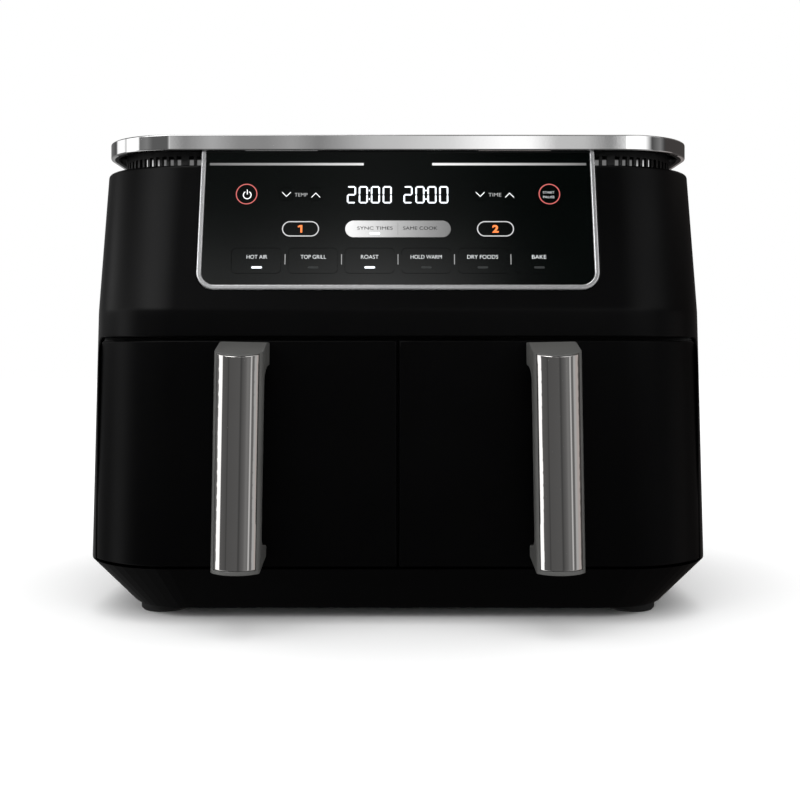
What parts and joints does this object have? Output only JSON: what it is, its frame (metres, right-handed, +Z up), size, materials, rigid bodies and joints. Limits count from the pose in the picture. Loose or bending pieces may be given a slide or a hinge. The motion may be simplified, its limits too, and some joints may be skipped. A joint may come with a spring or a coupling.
{
  "type": "air fryer",
  "caption": "Free-standing air fryer with side-by-side drawers, upright bright handles, a sloping control panel and a vented top.",
  "frame": {"origin": "on the counter, under the centre of the whole object's bounding box", "axes": "+Z up; the drawers face -Y and slide out that way; +X to the right of someone looking along +Y at the drawers"},
  "size_m": [0.431, 0.341, 0.325],
  "materials": {
    "body_black": "satin",
    "drawer_black": "satin",
    "base_black": "satin",
    "frame_black": "matt",
    "gland_black": "matt",
    "foot_rubber": "matt",
    "silicone": "matt",
    "bright_chrome": "polished",
    "bezel_silver": "satin",
    "panel_black": "gloss",
    "key_black": "gloss",
    "key_silver": "satin metallic paint",
    "handle_grey": "satin",
    "nonstick": "satin",
    "chamber_steel": "satin",
    "deck_steel": "satin",
    "guard_wire": "polished",
    "heater_tube": "oxidised",
    "motor_metal": "satin",
    "shaft_steel": "polished",
    "hot_fan_metal": "satin",
    "fan_black": "satin",
    "board_green": "gloss",
    "power_board": "gloss",
    "display": "gloss",
    "screw_steel": "plated"
  },
  "bodies": {
    "body": {"housing": "body_black", "front_frame": "frame_black", "base_pan": "base_black", "rear_cover": "body_black", "exhaust_bezels": "body_black", "rear_screws": "screw_steel", "cord_gland": "gland_black", "feet": "foot_rubber", "vent_ring": "frame_black", "top_cover": "body_black", "top_band": "bright_chrome", "fascia": "panel_black", "fascia_bezel": "bezel_silver", "display_module": "display", "control_board": "board_green", "chamber_1": "chamber_steel", "chamber_2": "chamber_steel", "heater_coil_1": "heater_tube", "heater_coil_2": "heater_tube", "heater_guard_1": "guard_wire", "heater_guard_2": "guard_wire", "motor_1": "motor_metal", "motor_2": "motor_metal", "motor_deck": "deck_steel", "power_board": "power_board"},
    "drawer_1": {"drawer_front_1": "drawer_black", "drawer_liner_1": "frame_black", "drawer_pan_1": "nonstick", "handle_core_1": "handle_grey", "handle_cover_1": "bright_chrome"},
    "plate_1": {"crisper_plate_1": "nonstick", "plate_bumpers_1": "silicone"},
    "rotor_1": {"motor_shaft_1": "shaft_steel", "hot_fan_1": "hot_fan_metal", "cooling_fan_1": "fan_black"},
    "drawer_2": {"drawer_front_2": "drawer_black", "drawer_liner_2": "frame_black", "drawer_pan_2": "nonstick", "handle_core_2": "handle_grey", "handle_cover_2": "bright_chrome"},
    "plate_2": {"crisper_plate_2": "nonstick", "plate_bumpers_2": "silicone"},
    "rotor_2": {"motor_shaft_2": "shaft_steel", "hot_fan_2": "hot_fan_metal", "cooling_fan_2": "fan_black"},
    "power_button": {"power_key": "key_black"},
    "start_button": {"start_key": "key_black"},
    "temp_down_button": {"temp_down_key": "key_black"},
    "temp_up_button": {"temp_up_key": "key_black"},
    "time_down_button": {"time_down_key": "key_black"},
    "time_up_button": {"time_up_key": "key_black"},
    "zone_1_button": {"zone_1_key": "key_black"},
    "zone_2_button": {"zone_2_key": "key_black"},
    "fry_button": {"fry_key": "key_black"},
    "grill_button": {"grill_key": "key_black"},
    "roast_button": {"roast_key": "key_black"},
    "warm_button": {"warm_key": "key_black"},
    "dry_button": {"dry_key": "key_black"},
    "bake_button": {"bake_key": "key_black"},
    "sync_rocker": {"sync_key": "key_silver"}
  },
  "joints": [
    {"name": "drawer_1_slide", "type": "slide", "parent": "body", "child": "drawer_1", "axis": [0, 1, 0], "range_m": [-0.24, 0]},
    {"name": "plate_1_lift", "type": "slide", "parent": "drawer_1", "child": "plate_1", "axis": [0, 0, 1], "range_m": [0, 0.12]},
    {"name": "rotor_1_spin", "type": "hinge", "parent": "body", "child": "rotor_1", "pos_m": [-0.102, 0.02275, 0.24], "axis": [0, 0, 1], "continuous": true},
    {"name": "drawer_2_slide", "type": "slide", "parent": "body", "child": "drawer_2", "axis": [0, 1, 0], "range_m": [-0.24, 0]},
    {"name": "plate_2_lift", "type": "slide", "parent": "drawer_2", "child": "plate_2", "axis": [0, 0, 1], "range_m": [0, 0.12]},
    {"name": "rotor_2_spin", "type": "hinge", "parent": "body", "child": "rotor_2", "pos_m": [0.102, 0.02275, 0.24], "axis": [0, 0, 1], "continuous": true},
    {"name": "power_press", "type": "slide", "parent": "body", "child": "power_button", "axis": [0, 0.9816, -0.1908], "range_m": [0, 0.0008], "stiffness_N_per_m": 400},
    {"name": "start_press", "type": "slide", "parent": "body", "child": "start_button", "axis": [0, 0.9816, -0.1908], "range_m": [0, 0.0008], "stiffness_N_per_m": 400},
    {"name": "temp_down_press", "type": "slide", "parent": "body", "child": "temp_down_button", "axis": [0, 0.9816, -0.1908], "range_m": [0, 0.0008], "stiffness_N_per_m": 400},
    {"name": "temp_up_press", "type": "slide", "parent": "body", "child": "temp_up_button", "axis": [0, 0.9816, -0.1908], "range_m": [0, 0.0008], "stiffness_N_per_m": 400},
    {"name": "time_down_press", "type": "slide", "parent": "body", "child": "time_down_button", "axis": [0, 0.9816, -0.1908], "range_m": [0, 0.0008], "stiffness_N_per_m": 400},
    {"name": "time_up_press", "type": "slide", "parent": "body", "child": "time_up_button", "axis": [0, 0.9816, -0.1908], "range_m": [0, 0.0008], "stiffness_N_per_m": 400},
    {"name": "zone_1_press", "type": "slide", "parent": "body", "child": "zone_1_button", "axis": [0, 0.9816, -0.1908], "range_m": [0, 0.0008], "stiffness_N_per_m": 400},
    {"name": "zone_2_press", "type": "slide", "parent": "body", "child": "zone_2_button", "axis": [0, 0.9816, -0.1908], "range_m": [0, 0.0008], "stiffness_N_per_m": 400},
    {"name": "fry_press", "type": "slide", "parent": "body", "child": "fry_button", "axis": [0, 0.9816, -0.1908], "range_m": [0, 0.0008], "stiffness_N_per_m": 400},
    {"name": "grill_press", "type": "slide", "parent": "body", "child": "grill_button", "axis": [0, 0.9816, -0.1908], "range_m": [0, 0.0008], "stiffness_N_per_m": 400},
    {"name": "roast_press", "type": "slide", "parent": "body", "child": "roast_button", "axis": [0, 0.9816, -0.1908], "range_m": [0, 0.0008], "stiffness_N_per_m": 400},
    {"name": "warm_press", "type": "slide", "parent": "body", "child": "warm_button", "axis": [0, 0.9816, -0.1908], "range_m": [0, 0.0008], "stiffness_N_per_m": 400},
    {"name": "dry_press", "type": "slide", "parent": "body", "child": "dry_button", "axis": [0, 0.9816, -0.1908], "range_m": [0, 0.0008], "stiffness_N_per_m": 400},
    {"name": "bake_press", "type": "slide", "parent": "body", "child": "bake_button", "axis": [0, 0.9816, -0.1908], "range_m": [0, 0.0008], "stiffness_N_per_m": 400},
    {"name": "sync_rock", "type": "hinge", "parent": "body", "child": "sync_rocker", "pos_m": [0, -0.10958, 0.25948], "axis": [0, 0.1908, 0.9816], "range_deg": [-1.5, 1.5], "stiffness_Nm_per_rad": 4}
  ]
}
